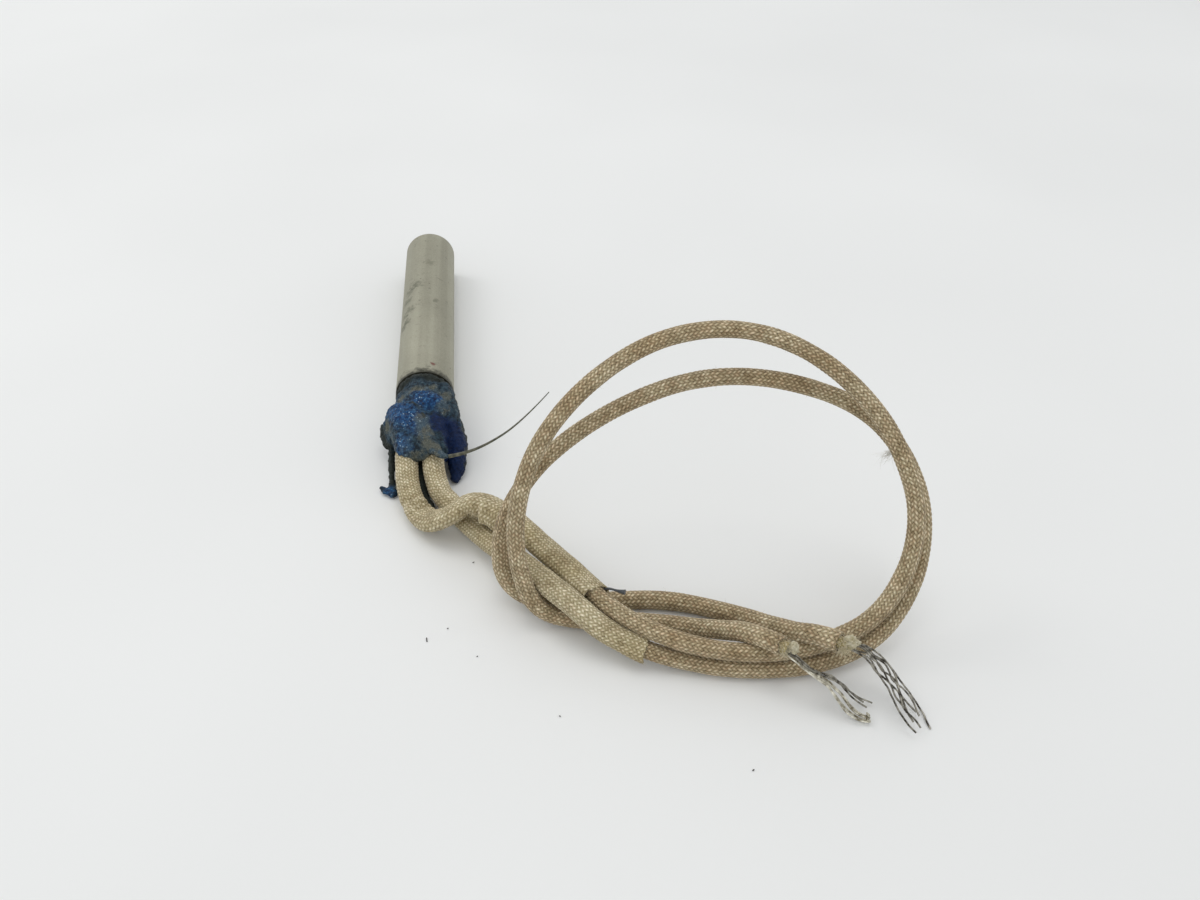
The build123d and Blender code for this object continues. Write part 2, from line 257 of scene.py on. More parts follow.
class Paint:
    """A material and short ways to add nodes to it. Its shades are screen colours, 0 to 255."""

    def __init__(self, name, **shader):
        self.material = bpy.data.materials.new(name)
        self.material.use_nodes = True
        self.tree = self.material.node_tree
        self.shader = self.tree.nodes["Principled BSDF"]
        for socket, value in shader.items():
            self.shader.inputs[socket.replace("_", " ")].default_value = value

    def add(self, kind, sockets=None, **settings):
        made = self.tree.nodes.new("ShaderNode" + kind)
        for setting, value in settings.items():
            setattr(made, setting, value)
        for socket, value in (sockets or {}).items():
            if isinstance(value, bpy.types.NodeSocket):
                self.tree.links.new(value, made.inputs[socket])
            else:
                made.inputs[socket].default_value = value
        return made

    def math(self, operation, *values):
        return self.add("Math", dict(enumerate(values)), operation=operation).outputs[0]

    def place(self):
        return self.add("TexCoord").outputs["Object"]

    def noise(self, size, detail=3.0, roughness=0.55, vector=None):
        """Noise whose features are about this many millimetres across, from 0 to 1."""
        sockets = {"Scale": 1 / (size * MM), "Detail": detail, "Roughness": roughness}
        sockets["Vector"] = vector or self.place()
        return self.add("TexNoise", sockets).outputs["Fac"]

    def attribute(self, name):
        return self.add("Attribute", attribute_name=name).outputs["Fac"]

    def between(self, value, low, high, start=0.0, end=1.0):
        sockets = {"Value": value, "From Min": low, "From Max": high, "To Min": start, "To Max": end}
        return self.add("MapRange", sockets).outputs["Result"]

    def mix(self, share, first, second, blend_type="MIX"):
        first, second = (colour(*side) if isinstance(side, tuple) else side for side in (first, second))
        sockets = {0: share, 6: first, 7: second}
        return self.add("Mix", sockets, data_type="RGBA", blend_type=blend_type).outputs[2]

    def ramp(self, value, *stops):
        made = self.add("ValToRGB", {"Fac": value})
        elements = made.color_ramp.elements
        while len(elements) < len(stops):
            elements.new(0.5)
        for element, (position, shade) in zip(elements, stops):
            element.position, element.color = position, colour(*shade)
        return made.outputs["Color"]

    def bump(self, height, depth):
        """Bump whose full height is this many millimetres."""
        sockets = {"Height": height, "Distance": depth * MM, "Strength": 1.0}
        return self.add("Bump", sockets).outputs["Normal"]

    def finish(self, base, roughness=None, normal=None):
        for socket, value in (("Base Color", base), ("Roughness", roughness), ("Normal", normal)):
            if value is not None:
                self.tree.links.new(value, self.shader.inputs[socket])
        return self.material


def woven(name, floats, gap_shade, middle, crown, stain, tint, **shader):
    """Braided glass yarn: a painted highlight on the crowns, painted shade in the gaps, fine filaments, and
    stains that vary along it.

    Each yarn passes over `floats` yarns of the other family, then under as many."""
    paint = Paint(name, **shader)
    yarn = paint.add("UVMap", uv_map="yarn").outputs["UV"]
    first, second, _ = paint.add("SeparateXYZ", {0: yarn}).outputs
    cell = paint.add("VectorMath", {0: yarn}, operation="FLOOR").outputs[0]
    row = paint.math("ADD", paint.math("FLOOR", first), paint.math("FLOOR", second))
    turn = paint.math("FLOORED_MODULO", row, 2.0 * floats)
    over = paint.math("GREATER_THAN", turn, floats - 0.5)
    across = paint.mix(over, paint.math("FRACT", first), paint.math("FRACT", second))
    along = paint.mix(over, paint.math("FRACT", second), paint.math("FRACT", first))
    passed = paint.math("MULTIPLY_ADD", over, -float(floats), turn)
    along = paint.math("DIVIDE", paint.math("ADD", along, passed), float(floats))
    middle_line = paint.math("MULTIPLY_ADD", across, 2.0, -1.0)
    round_yarn = paint.math("SQRT", paint.math("SUBTRACT", 1.0, paint.math("POWER", middle_line, 2.0)))
    rise = paint.math("SINE", paint.math("MULTIPLY", along, math.pi))
    swell = paint.math("MULTIPLY_ADD", over, -0.2, 0.8)
    level = paint.math("SUBTRACT", 1.0, swell)
    height = paint.math("MULTIPLY", round_yarn, paint.math("MULTIPLY_ADD", rise, swell, level))
    lines = [
        paint.add("Mapping", {"Vector": yarn, "Scale": scale}).outputs[0]
        for scale in ((9.0, 0.8, 1.0), (0.8, 9.0, 1.0))
    ]
    filament = paint.mix(over, *(paint.add("TexNoise", {"Vector": v, "Scale": 1.0}).outputs["Fac"]
                                 for v in lines))
    grain = paint.noise(0.25, 4.0, 0.7)
    random_cell = paint.add("TexWhiteNoise", {"Vector": cell}, noise_dimensions="2D").outputs["Value"]
    # The colour follows the yarn's height: painted shade in the gaps between yarns, a painted highlight on
    # their crowns.
    shade = paint.math("ADD", height, paint.math("MULTIPLY_ADD", grain, 0.5, -0.3))
    shade = paint.math("ADD", shade, paint.math("MULTIPLY_ADD", random_cell, 0.24, -0.15))
    # Cells where one family lies on top are painted a little lighter, a painted highlight on that family.
    shade = paint.math("ADD", shade, paint.math("MULTIPLY", over, 0.06))
    base = paint.ramp(shade, (0.0, gap_shade), (0.3, middle), (0.66, middle), (1.0, crown))
    warm = paint.ramp(random_cell, (0.0, (214, 196, 166)), (0.45, (238, 234, 220)),
                      (0.8, (232, 204, 180)), (1.0, (255, 253, 246)))
    base = paint.mix(tint, base, warm, "MULTIPLY")
    uneven = paint.ramp(paint.noise(2.4, 4.0, 0.65), (0.35, (206, 198, 182)), (0.62, (255, 254, 250)))
    base = paint.mix(0.8, base, uneven, "MULTIPLY")
    patch = paint.between(paint.noise(9.0, 4.0, 0.6), 0.42, 0.72)
    base = paint.mix(paint.math("MULTIPLY", patch, 0.6), base, stain, "MULTIPLY")
    speck = paint.between(paint.noise(0.9, 2.0, 0.5), 0.72, 0.78)
    base = paint.mix(paint.math("MULTIPLY", speck, 0.6), base, (84, 72, 52))
    relief = paint.math("ADD", height, paint.math("MULTIPLY", filament, 0.45))
    roughness = paint.between(grain, 0.2, 0.8, 0.7, 0.95)
    return paint.finish(base, roughness, paint.bump(relief, 0.1))


# In each weave the first colour is painted shade in the gaps between yarns, the third a painted highlight on
# their crowns.
def lead_weave():
    return woven("lead_weave", 2, (80, 66, 43), (182, 169, 140), (248, 241, 218),
                 (204, 184, 152), 0.55, Sheen_Weight=0.15)


def sleeve_weave():
    return woven("sleeve_weave", 2, (112, 98, 64), (194, 184, 152), (252, 247, 226),
                 (210, 200, 166), 0.3, Sheen_Weight=0.15)


def inner_weave():
    return woven("inner_weave", 1, (128, 116, 62), (196, 184, 134), (236, 228, 196),
                 (214, 204, 150), 0.4, Sheen_Weight=0.2)


def fibre(name, shade, darker):
    paint = Paint(name, Roughness=0.75, Sheen_Weight=0.2)
    base = paint.mix(paint.noise(1.2, 2.0), darker, shade)
    return paint.finish(base)


def sheath_metal():
    """Matte steel, a little warm, with faint drawn streaks, stains, dark specks, and a mouth darkened by
    soot and painted shade.
    """
    paint = Paint("sheath_metal", Metallic=0.4)
    cloud = paint.noise(14.0, 5.0, 0.6)
    grain = paint.noise(0.22, 3.0, 0.7)
    base = paint.ramp(cloud, (0.25, (143, 141, 122)), (0.55, (160, 158, 139)), (0.8, (173, 171, 153)))
    base = paint.mix(0.22, base, paint.ramp(grain, (0.3, (120, 118, 106)), (0.7, (214, 212, 202))))
    along = paint.add("Mapping", {"Vector": paint.place(), "Scale": (1.0, 0.02, 1.0)}).outputs[0]
    drawn = paint.noise(3.0, 2.5, 0.5, along)
    base = paint.mix(0.5, base, paint.ramp(drawn, (0.36, (214, 212, 206)), (0.6, (255, 255, 252))),
                     "MULTIPLY")
    for where, size, share, shade in SHEATH_MARKS:
        base = smudge(paint, base, where, size, share, shade)
    # Darker towards the open end: soot on the metal, and painted shade where the silicone's rim meets it.
    mouth = paint.between(paint.add("SeparateXYZ", {0: paint.place()}).outputs[1], 2.6 * MM, 0.1 * MM)
    soot = paint.math("ADD", mouth, paint.between(paint.noise(1.6, 4.0, 0.65), 0.3, 0.7, -0.5, 0.3))
    base = paint.mix(paint.between(soot, 0.1, 0.75, 0.0, 0.92), base, (42, 42, 30))
    speck = paint.between(paint.noise(1.7, 1.0, 0.4), 0.775, 0.8)
    base = paint.mix(paint.math("MULTIPLY", speck, 0.6), base, (84, 76, 62))
    roughness = paint.between(cloud, 0.2, 0.8, 0.5, 0.68)
    return paint.finish(base, roughness, paint.bump(grain, 0.012))


# Marks on the sheath: where, size in millimetres, strength and shade.
OLIVE, RUSTY = (88, 90, 72), (112, 58, 52)
SHEATH_MARKS = [
    ((2.4, 3.6, 12.2), 0.7, 0.85, RUSTY), ((2.4, 31.2, 12.2), 1.2, 0.5, OLIVE),
    ((0.8, 49.6, 12.6), 1.8, 0.35, OLIVE), ((-2.6, 39.4, 12.1), 2.2, 0.65, OLIVE),
    ((-4.0, 37.2, 11.3), 1.9, 0.55, OLIVE), ((-4.8, 33.4, 10.5), 1.8, 0.65, OLIVE),
    ((-3.8, 28.5, 11.4), 1.9, 0.65, OLIVE), ((-4.9, 27.0, 10.4), 1.5, 0.5, OLIVE),
    ((-4.3, 23.8, 11.0), 1.6, 0.65, OLIVE), ((-5.2, 22.6, 10.0), 1.8, 0.65, OLIVE),
]


def smudge(paint, base, where, size, share, shade):
    """A soft uneven mark round one spot."""
    measure = paint.add("VectorMath", {0: paint.place(), 1: place(*where)}, operation="DISTANCE")
    ragged = paint.between(paint.noise(1.1, 4.0, 0.65), 0.3, 0.7, -0.6 * size * MM, 0.6 * size * MM)
    away = paint.math("ADD", measure.outputs["Value"], ragged)
    return paint.mix(paint.between(away, size * MM, 0.2 * size * MM, 0.0, share), base, shade)


def silicone():
    """Blue silicone: granular and glinting, deep navy in its hollows, partly its own colour and partly
    painted shade, with films of grey dirt.
    """
    paint = Paint("silicone", Specular_IOR_Level=0.22)
    grain = paint.noise(0.7, 5.0, 0.7)
    fine = paint.noise(0.2, 3.0, 0.65)
    cloud = paint.noise(2.6, 4.0, 0.6)
    base = paint.ramp(grain, (0.34, (8, 16, 22)), (0.46, (24, 42, 54)),
                      (0.58, (46, 70, 84)), (0.74, (98, 118, 124)))
    bright = paint.ramp(grain, (0.36, (6, 18, 38)), (0.46, (20, 52, 94)),
                        (0.58, (36, 90, 140)), (0.72, (112, 160, 188)))
    base = paint.mix(paint.attribute("bright"), base, bright)
    brown_film = paint.ramp(fine, (0.32, (50, 54, 48)), (0.5, (88, 92, 84)), (0.68, (136, 134, 118)))
    blue_film = paint.ramp(fine, (0.32, (36, 50, 60)), (0.5, (66, 86, 98)), (0.68, (118, 132, 138)))
    film = paint.mix(paint.between(cloud, 0.44, 0.56), brown_film, blue_film)
    edge = paint.math("ADD", paint.attribute("dirt"), paint.between(grain, 0.3, 0.7, -0.4, 0.4))
    base = paint.mix(paint.between(edge, 0.25, 0.85, 0.0, 0.9), base, film)
    base = paint.mix(paint.between(cloud, 0.52, 0.7, 0.0, 0.4), base, film)
    # Painted shade: the hollows are painted deep navy, partly the silicone's own colour and partly the shade
    # that falls in them.
    navy = paint.ramp(grain, (0.3, (0, 12, 40)), (0.7, (4, 38, 88)))
    shaded_hollow = paint.math("ADD", paint.attribute("navy"), paint.between(grain, 0.3, 0.7, -0.15, 0.15))
    base = paint.mix(paint.between(shaded_hollow, 0.15, 0.6, 0.0, 0.96), base, navy)
    # Painted shade round the mouth (with soot), in the cleft between the lobes and in the gap between the
    # sleeves; soot on the left and right edges.
    dark = paint.math("ADD", paint.attribute("soot"), paint.between(grain, 0.3, 0.7, -0.3, 0.3))
    base = paint.mix(paint.between(dark, 0.3, 0.85, 0.0, 0.88), base,
                     paint.ramp(fine, (0.3, (20, 23, 20)), (0.7, (56, 60, 50))))
    dots = paint.add("TexVoronoi", {"Vector": paint.place(), "Scale": 1 / (0.8 * MM)}).outputs["Distance"]
    glint = paint.math("MULTIPLY", paint.between(dots, 0.2, 0.09), paint.attribute("bright"))
    base = paint.mix(paint.math("MULTIPLY", glint, 0.8), base, (200, 226, 240))
    roughness = paint.between(fine, 0.25, 0.75, 0.34, 0.68)
    relief = paint.math("ADD", grain, paint.math("MULTIPLY", fine, 0.5))
    return paint.finish(base, roughness, paint.bump(relief, 0.34))


def string_silicone():
    paint = Paint("string_silicone", Roughness=0.6)
    base = paint.ramp(paint.noise(0.8, 4.0, 0.65), (0.3, (52, 52, 40)), (0.55, (92, 92, 76)),
                      (0.75, (132, 130, 112)))
    return paint.finish(base, None, paint.bump(paint.noise(0.25), 0.05))


def wire_metal(name, dull, bright):
    """Nickel wire: drawn, a little tarnished, with painted reflections in its colour."""
    paint = Paint(name, Metallic=1.0)
    tarnish_and_reflection = paint.noise(1.2, 4.0, 0.6)
    # Painted reflection: the colour runs from dark to bright in patches, partly tarnish and partly standing
    # in for highlights and dark reflections.
    base = paint.ramp(tarnish_and_reflection, (0.38, dull), (0.62, bright))
    roughness = paint.between(tarnish_and_reflection, 0.3, 0.7, 0.4, 0.2)
    return paint.finish(base, roughness, paint.bump(paint.noise(0.12), 0.012))


def solid(name, dark, light, size, bump, **shader):
    """Plain inner part: two shades mixed by noise, and a fine surface."""
    paint = Paint(name, **shader)
    cloud = paint.noise(size, 4.0, 0.6)
    base = paint.ramp(cloud, (0.3, dark), (0.7, light))
    return paint.finish(base, None, paint.bump(paint.noise(size / 8), bump))


def floor_paint():
    paint = Paint("pale_floor", Roughness=0.55)
    base = paint.ramp(paint.noise(140.0, 2.0, 0.5), (0.3, (233, 234, 233)), (0.7, (238, 239, 238)))
    return paint.finish(base)


# ------ woven tubes
def weave_height(first, second, floats):
    """Height of a braid, 0 to 1, where two families of yarn pass over and under each other."""
    turn = (np.floor(first) + np.floor(second)) % (2 * floats)
    over = turn < floats
    share_first, share_second = first % 1, second % 1
    across = np.where(over, share_first, share_second)
    along = (np.where(over, share_second, share_first) + turn % floats) / floats
    return (1 - 0.7 * (2 * across - 1) ** 2) * (0.4 + 0.6 * np.sin(math.pi * along))


def yarn_coordinates(rings, braid):
    """Where each vertex lies on the two families of yarn, one column more than there are vertices."""
    turn = np.arange(braid.around + 1) / braid.around * braid.yarns
    along = np.arange(rings)[:, None] * braid.step / braid.pitch
    lag, lead_by = (wobble(rings, 14, 0.14, braid.yarns + number)[:, None] for number in range(2))
    return turn + along + lag, turn - along + lead_by


def wobble(count, size, amount, seed):
    """Slow random waves along a line, about `size` steps long."""
    draw = np.random.default_rng(seed)
    knots = draw.normal(0, amount, max(4, count // size + 3))
    spread = np.linspace(0, len(knots) - 1, count)
    low = np.clip(spread.astype(int), 0, len(knots) - 2)
    share = spread - low
    share = share * share * (3 - 2 * share)
    return knots[low] * (1 - share) + knots[low + 1] * share


def woven_tube(name, material, line, radius, braid):
    """Braided tube along a line, turned back inside its ragged far end."""
    rings, around = radius.shape
    side, up = directions(line)
    first, second = yarn_coordinates(rings, braid)
    height = weave_height(first[:, :-1], second[:, :-1], braid.floats)
    angle = np.arange(around) / around * 2 * math.pi
    outward = np.cos(angle)[None, :, None] * side[:, None] + np.sin(angle)[None, :, None] * up[:, None]
    surface = line[:, None] + outward * (radius + (height - 0.6) * braid.relief)[..., None]
    inner = line[:, None] + outward * (radius - braid.wall)[..., None]
    surface = np.concatenate([surface, inner[::-1][:braid.lining]])
    first = np.concatenate([first, first[::-1][:braid.lining]])
    second = np.concatenate([second, second[::-1][:braid.lining]])
    ragged = (wobble(around, 3, 0.14 * MM, rings) + wobble(around, 9, 0.1 * MM, around))[:, None]
    way = unit(line[-1] - line[-2])
    for ring, share in ((-3, 0.4), (-2, 0.7), (-1, 1.0), (0, 1.0), (1, 0.7), (2, 0.4)):
        surface[rings + ring] += ragged * share * way
    surface[..., 2] = np.maximum(surface[..., 2], FLOOR)
    obj = mesh_object(name, surface.reshape(-1, 3), tube_faces(len(surface), around), material)
    uv = obj.data.uv_layers.new(name="yarn")
    corners = np.stack([
        np.stack([grid[:-1, :-1], grid[1:, :-1], grid[1:, 1:], grid[:-1, 1:]], axis=-1)
        for grid in (first, second)
    ], axis=-1)
    uv.data.foreach_set("uv", corners.reshape(-1).astype(np.float32))
    return obj, surface[:rings]


def lead(letter, route, thickness, seed):
    """One lead: its braid, from inside the sheath to where it is stripped, and loose fibre ends."""
    line = evenly(route_line(route), LEAD_BRAID.step)
    rings = len(line)
    radius = np.interp(np.linspace(0, 1, rings), *zip(*thickness)) / 2 * MM
    radius = radius * (1 + wobble(rings, 18, 0.015, seed))
    radius = np.repeat(radius[:, None], LEAD_BRAID.around, axis=1)
    node = f"lead_{letter}"
    obj, surface = woven_tube(f"{node}_braid", lead_weave_paint, line, radius, LEAD_BRAID)
    settle(obj, node)
    fuzz(f"{node}_fuzz", lead_fibre_paint, surface[rings // 4:], 420, 0.7, seed, node)
    rim_fray(f"{node}_frayed_rim", lead_fibre_paint, surface, 70, 1.1, seed, node)
    return obj, line


def oval(angle, wide, tall):
    """Distance from the middle of an oval to its edge at an angle."""
    return 1 / np.sqrt((np.cos(angle) / wide) ** 2 + (np.sin(angle) / tall) ** 2)


def fold(radius, step, dents):
    """Presses folds and dents into a tube's radius."""
    rings, around = radius.shape
    along = np.arange(rings)[:, None] * step
    angle = np.arange(around)[None] / around * 360
    for share, middle, depth, length, breadth in dents:
        away = (along - share * along[-1]) / (length * MM)
        turned = (angle - middle + 180) % 360 - 180
        beside = np.radians(turned) * radius / (breadth * MM)
        lip = np.exp(-((np.abs(away) - 1.6) ** 2)) * 0.25
        radius = radius - (np.exp(-(away ** 2)) - lip) * np.exp(-(beside ** 2)) * depth * MM
    return radius


def sleeve(letter, line, runs, route, width, height, dents, seed):
    """One sleeve: a limp woven tube, creased where it bends and flattened where it is cut."""
    line = evenly(stretch(line, route, runs), SLEEVE_BRAID.step)
    rings = len(line)
    share = np.linspace(0, 1, rings)[:, None]
    angle = np.arange(SLEEVE_BRAID.around)[None] / SLEEVE_BRAID.around * 2 * math.pi
    wide = np.interp(share, *zip(*width)) / 2 * MM
    tall = np.interp(share, *zip(*height)) / 2 * MM
    swell = wobble(rings, 26, 0.05 * MM, seed)[:, None]
    waves = swell * np.cos(angle + wobble(rings, 50, 2.0, seed)[:, None])
    radius = fold(oval(angle, wide, tall) + waves, SLEEVE_BRAID.step, dents)
    radius = np.maximum(radius, SLEEVE_THINNEST * MM)
    node = f"sleeve_{letter}"
    obj, surface = woven_tube(f"{node}_weave", sleeve_weave_paint, line, radius, SLEEVE_BRAID)
    settle(obj, node)
    fuzz(f"{node}_fuzz", sleeve_fibre_paint, surface[rings // 5:], 160, 0.6, seed, node)
    rim_fray(f"{node}_frayed_rim", sleeve_fibre_paint, surface, 60, 0.8, seed, node)


def hair(root, lean, curl, length):
    """Three points of a fibre that leaves its root one way and curls toward another."""
    return [root, root + lean * length / 2, root + (lean + curl) * length]


def fuzz(name, material, surface, count, reach, seed, node):
    """Loose fibre ends that stand off a woven surface."""
    draw = np.random.default_rng(seed)
    lines = []
    for _ in range(count):
        ring, spot = draw.integers(1, len(surface) - 1), draw.integers(surface.shape[1])
        root = surface[ring, spot]
        out = unit(root - surface[ring].mean(axis=0))
        along = unit(surface[ring + 1, spot] - surface[ring - 1, spot]) * draw.uniform(-1, 1)
        lean = out * draw.uniform(0.25, 0.9) + along + draw.normal(0, 0.25, 3)
        length = draw.uniform(0.3, 1.0) * reach * MM
        curl = draw.normal(0, 0.35, 3)
        lines.append([root - out * FIBRE_SUNK * MM, *hair(root, lean, curl, length)[1:]])
    obj = wires(name, material, lines, FUZZ_RADIUS * MM, tapered=True)
    obj.data.resolution_u = 3
    settle(obj, node)


def rim_fray(name, material, surface, count, reach, seed, node):
    """Fibre ends that stick out round a cut end."""
    draw = np.random.default_rng(seed + 5)
    middle = surface[-1].mean(axis=0)
    way = unit(middle - surface[-4].mean(axis=0))
    lines = []
    for _ in range(count):
        spot = draw.integers(surface.shape[1])
        root = surface[-2, spot]
        out = unit(root - middle)
        root = root - out * draw.uniform(0.02, 0.3) * MM
        lean = way + out * draw.normal(0.1, 0.3) + draw.normal(0, 0.2, 3)
        length = draw.uniform(0.35, 1.0) * reach * MM
        curl = draw.normal(0, 0.3, 3)
        lines.append(hair(root, lean, curl, length))
    obj = wires(name, material, lines, RIM_FIBRE_RADIUS * MM, tapered=True)
    settle(obj, node)


# ------ bare ends
# Middle lines of the bare strands, from just inside the lead, and half the width of each fan there.
UPPER_A_ROUTE = [
    (60.9, -81.4, 8.7), (62.4, -83.2, 8.2), (64.8, -84.6, 6.6), (67.1, -84.5, 5.5), (69.0, -84.9, 4.2),
    (70.3, -85.9, 2.8), (71.9, -86.9, 1.5), (74.0, -87.8, 0.6),
]
UPPER_A_WIDTH = [0.35, 0.4, 0.4, 0.45, 0.5, 0.6, 0.7]
RIBBON_A_ROUTE = [
    (60.7, -81.6, 8.4), (62.2, -83.4, 7.8), (64.8, -85.0, 6.3), (67.0, -86.0, 4.8), (68.7, -87.5, 2.9),
    (69.9, -88.9, 1.5), (71.2, -89.7, 0.8), (72.6, -90.1, 0.5),
]
RIBBON_A_WIDTH = [0.3, 0.4, 0.5, 0.55, 0.75, 0.75, 0.6]
FAN_B_ROUTE = [
    (70.4, -81.4, 8.7), (72.0, -81.7, 8.5), (74.0, -82.2, 7.7), (75.5, -83.9, 6.7), (76.9, -85.7, 5.3),
    (78.0, -87.5, 3.8), (79.1, -89.8, 2.0), (80.2, -91.9, 1.0), (81.2, -93.4, 0.5),
]
FAN_B_WIDTH = [0.45, 1.3, 1.9, 2.1, 2.4, 2.4, 2.1]
# Where each strand lies across its fan, from -1 to 1, at even steps along it.
UPPER_A_STRANDS = [
    (-1.0, -0.6, 0.6, 1.0, 0.2, -0.8, -1.0), (0.2, 1.0, 0.2, -0.6, 0.9, 1.0, 0.9),
    (0.9, -0.2, -0.9, 0.1, -0.9, -0.4, 0.1),
]
RIBBON_A_STRANDS = [
    (-1.0, -1.0, -0.9, -1.0, -1.1, -1.0, -0.9), (-0.3, -0.4, 0.4, -0.2, -0.8, -0.5, -0.3),
    (0.4, 0.4, -0.4, 0.5, 0.6, 0.2, 0.3), (1.0, 1.0, 1.0, 0.8, 1.2, 1.1, 0.9),
]
FAN_B_STRANDS = [
    (-0.8, -1.0, -1.0, -1.0, -0.9, -1.0, -1.2, -1.2, -0.6),
    (-0.6, -0.9, -0.2, -0.9, -0.7, 0.0, -0.3, -0.6, -0.4),
    (0.0, 0.3, -0.3, 0.2, -0.5, -0.2, 0.1, 0.3, 0.2), (0.2, -0.3, 0.4, 0.1, 0.6, 0.1, 0.5, 0.1, 0.4),
    (0.9, 1.0, 1.0, 1.0, 0.9, 1.0, 1.0, 1.0, 1.0), (0.6, 0.9, 0.4, 0.9, 0.3, 0.6, 0.2, 0.5, 0.7),
    (-0.2, -0.7, 0.0, -0.5, 0.1, -0.6, -0.9, -0.5, 0.1),
]
FAN_B_LENGTHS = [1.0, 0.84, 0.86, 0.97, 0.94, 0.8, 0.9]


def conductor(letter, route):
    """The conductor inside a lead, on the lead's own smooth line."""
    line = [place(*position) for position in route]
    back = (line[0] - line[1]).normalized() * 5.5 * MM
    line[0] = line[0] + back
    obj = wires(f"conductor_{letter}_core", bright_wire_paint, [line], CONDUCTOR_RADIUS * MM)
    obj.data.splines[0].order_u = ROUTE_ORDER
    settle(obj, f"conductor_{letter}")


def even_steps(values, count):
    """The values, given at even steps, at a larger number of even steps."""
    return np.interp(np.linspace(0, 1, count), np.linspace(0, 1, len(values)), values)


def strand(name, line, material, radius):
    """One bare strand. It stands for the CAD strand of the same name."""
    obj = wires(f"{name}_wire", material, [line], radius * MM)
    obj.data.resolution_u = 6
    return settle(obj, name)


def fanned(route, widths, places, lift, draw):
    """Lines of strands that spread, cross and wander along the middle line of their fan."""
    middles = evenly(route_line(route), 0.8 * MM)
    count = len(middles)
    side, _ = directions(middles)
    halves = even_steps(widths, count)
    lines = []
    for number, across in enumerate(places):
        line = middles + side * (even_steps(across, count) * halves)[:, None] * MM
        line[:, 2] += math.sin(number * 2.4) * lift * MM
        line[1:] += draw.normal(0, 0.05, (count - 1, 3)) * MM
        lines.append(list(line))
    return lines


def bare_strands_a():
    """Three dull wires above, and a ribbon of four bright ones that is folded back at its end."""
    draw = np.random.default_rng(41)
    made = []
    for number, line in enumerate(fanned(UPPER_A_ROUTE, UPPER_A_WIDTH, UPPER_A_STRANDS, 0.2, draw)):
        line = line[:len(line) - number]
        made.append(strand(f"lead_a_strand_{number + 1}", line, wire_paint, DULL_A_RADIUS))
    for number, line in enumerate(fanned(RIBBON_A_ROUTE, RIBBON_A_WIDTH, RIBBON_A_STRANDS, 0.1, draw)):
        end, back = line[-1], line[-1] - line[-3]
        line += [end + back * 0.3 + np.array([0, 0, 0.4 * MM]),
                 end - back * 0.2 + np.array([0, 0, 0.7 * MM])]
        made.append(strand(f"lead_a_strand_{number + 4}", line, bright_wire_paint, BRIGHT_A_RADIUS))
    return made


def bare_strands_b():
    """Seven dull wavy wires that cross each other and fan out to the surface."""
    draw = np.random.default_rng(43)
    made = []
    lines = fanned(FAN_B_ROUTE, FAN_B_WIDTH, FAN_B_STRANDS, 0.3, draw)
    for number, (line, share) in enumerate(zip(lines, FAN_B_LENGTHS)):
        line = line[:round(len(line) * share)]
        made.append(strand(f"lead_b_strand_{number + 1}", line, wire_paint, STRAND_B_RADIUS))
    return made


def inner_layer(letter, line, reach, seed):
    """Pale inner braid that shows at a stripped end, and the tuft of fibres inside it."""
    way = unit(line[-1] - line[-8])
    start = line[-1] - way * INNER_SET_BACK * MM
    short = start + np.arange(0, INNER_LENGTH * MM, INNER_BRAID.step)[:, None] * way
    radius = np.full((len(short), INNER_BRAID.around), INNER_RADIUS * MM)
    radius *= 1 + wobble(len(short), 5, 0.03, seed)[:, None]
    braid, _ = woven_tube(f"lead_{letter}_inner_braid", inner_weave_paint, short, radius, INNER_BRAID)
    settle(braid, f"lead_{letter}_inner_layer")
    draw = np.random.default_rng(seed)
    side, up = (axis[0] for axis in directions(short))
    lines = []
    for _ in range(420):
        angle, out = draw.uniform(0, 2 * math.pi), math.sqrt(draw.uniform(0.05, 1)) * 1.1
        offset = (side * math.cos(angle) + up * math.sin(angle)) * out
        root = short[-1] - way * draw.uniform(0.2, 0.9) * MM + offset * MM
        length = draw.uniform(0.3, 1.0) * reach * MM
        lean = way * draw.uniform(0.2, 1.0) + offset * 0.4 + draw.normal(0, 0.35, 3)
        curl = draw.normal(0, 0.6, 3) - np.array([0, 0, 0.25])
        lines.append(hair(root, lean, curl, length))
    tuft = wires(f"lead_{letter}_tuft", inner_fibre_paint, lines, TUFT_RADIUS * MM, tapered=True)
    settle(tuft, f"lead_{letter}_inner_layer")


def cotton(letter, middle, radii, seed):
    """Matted fibres in a stripped end: a soft uneven lump."""
    shape = bmesh.new()
    bmesh.ops.create_icosphere(shape, subdivisions=5, radius=1.0)
    for vertex in shape.verts:
        out = vertex.co.copy()
        size = 1 + 0.45 * noise.noise(out * 1.8 + Vector((seed, 0, 0))) + 0.25 * noise.noise(out * 5.0)
        vertex.co = Vector([o * r * size * MM for o, r in zip(out, radii)]) + place(*middle)
    mesh = bpy.data.meshes.new("cotton")
    shape.to_mesh(mesh)
    shape.free()
    obj = smooth_piece(f"lead_{letter}_matted_fibres", mesh, cotton_paint)
    settle(obj, f"lead_{letter}_inner_layer")


THREAD_ROUTE = [
    (32.5, -62.2, 6.2), (33.3, -62.6, 6.9), (34.2, -63.0, 7.0), (35.1, -63.3, 6.7), (36.3, -63.9, 6.9),
]
THREAD_RADIUS, THREAD_THICKNESS = 0.22, (0.8, 1.3, 0.7, 1.0, 2.2)


def stray_thread():
    """A dark knotted scrap of thread that is caught at the end of sleeve A."""
    line = [place(*position) for position in THREAD_ROUTE]
    obj = wires("stray_thread", stray_paint, [line], THREAD_RADIUS * MM)
    for point, thickness in zip(obj.data.splines[0].points, THREAD_THICKNESS):
        point.radius = thickness
    settle(obj, "sleeve_a")


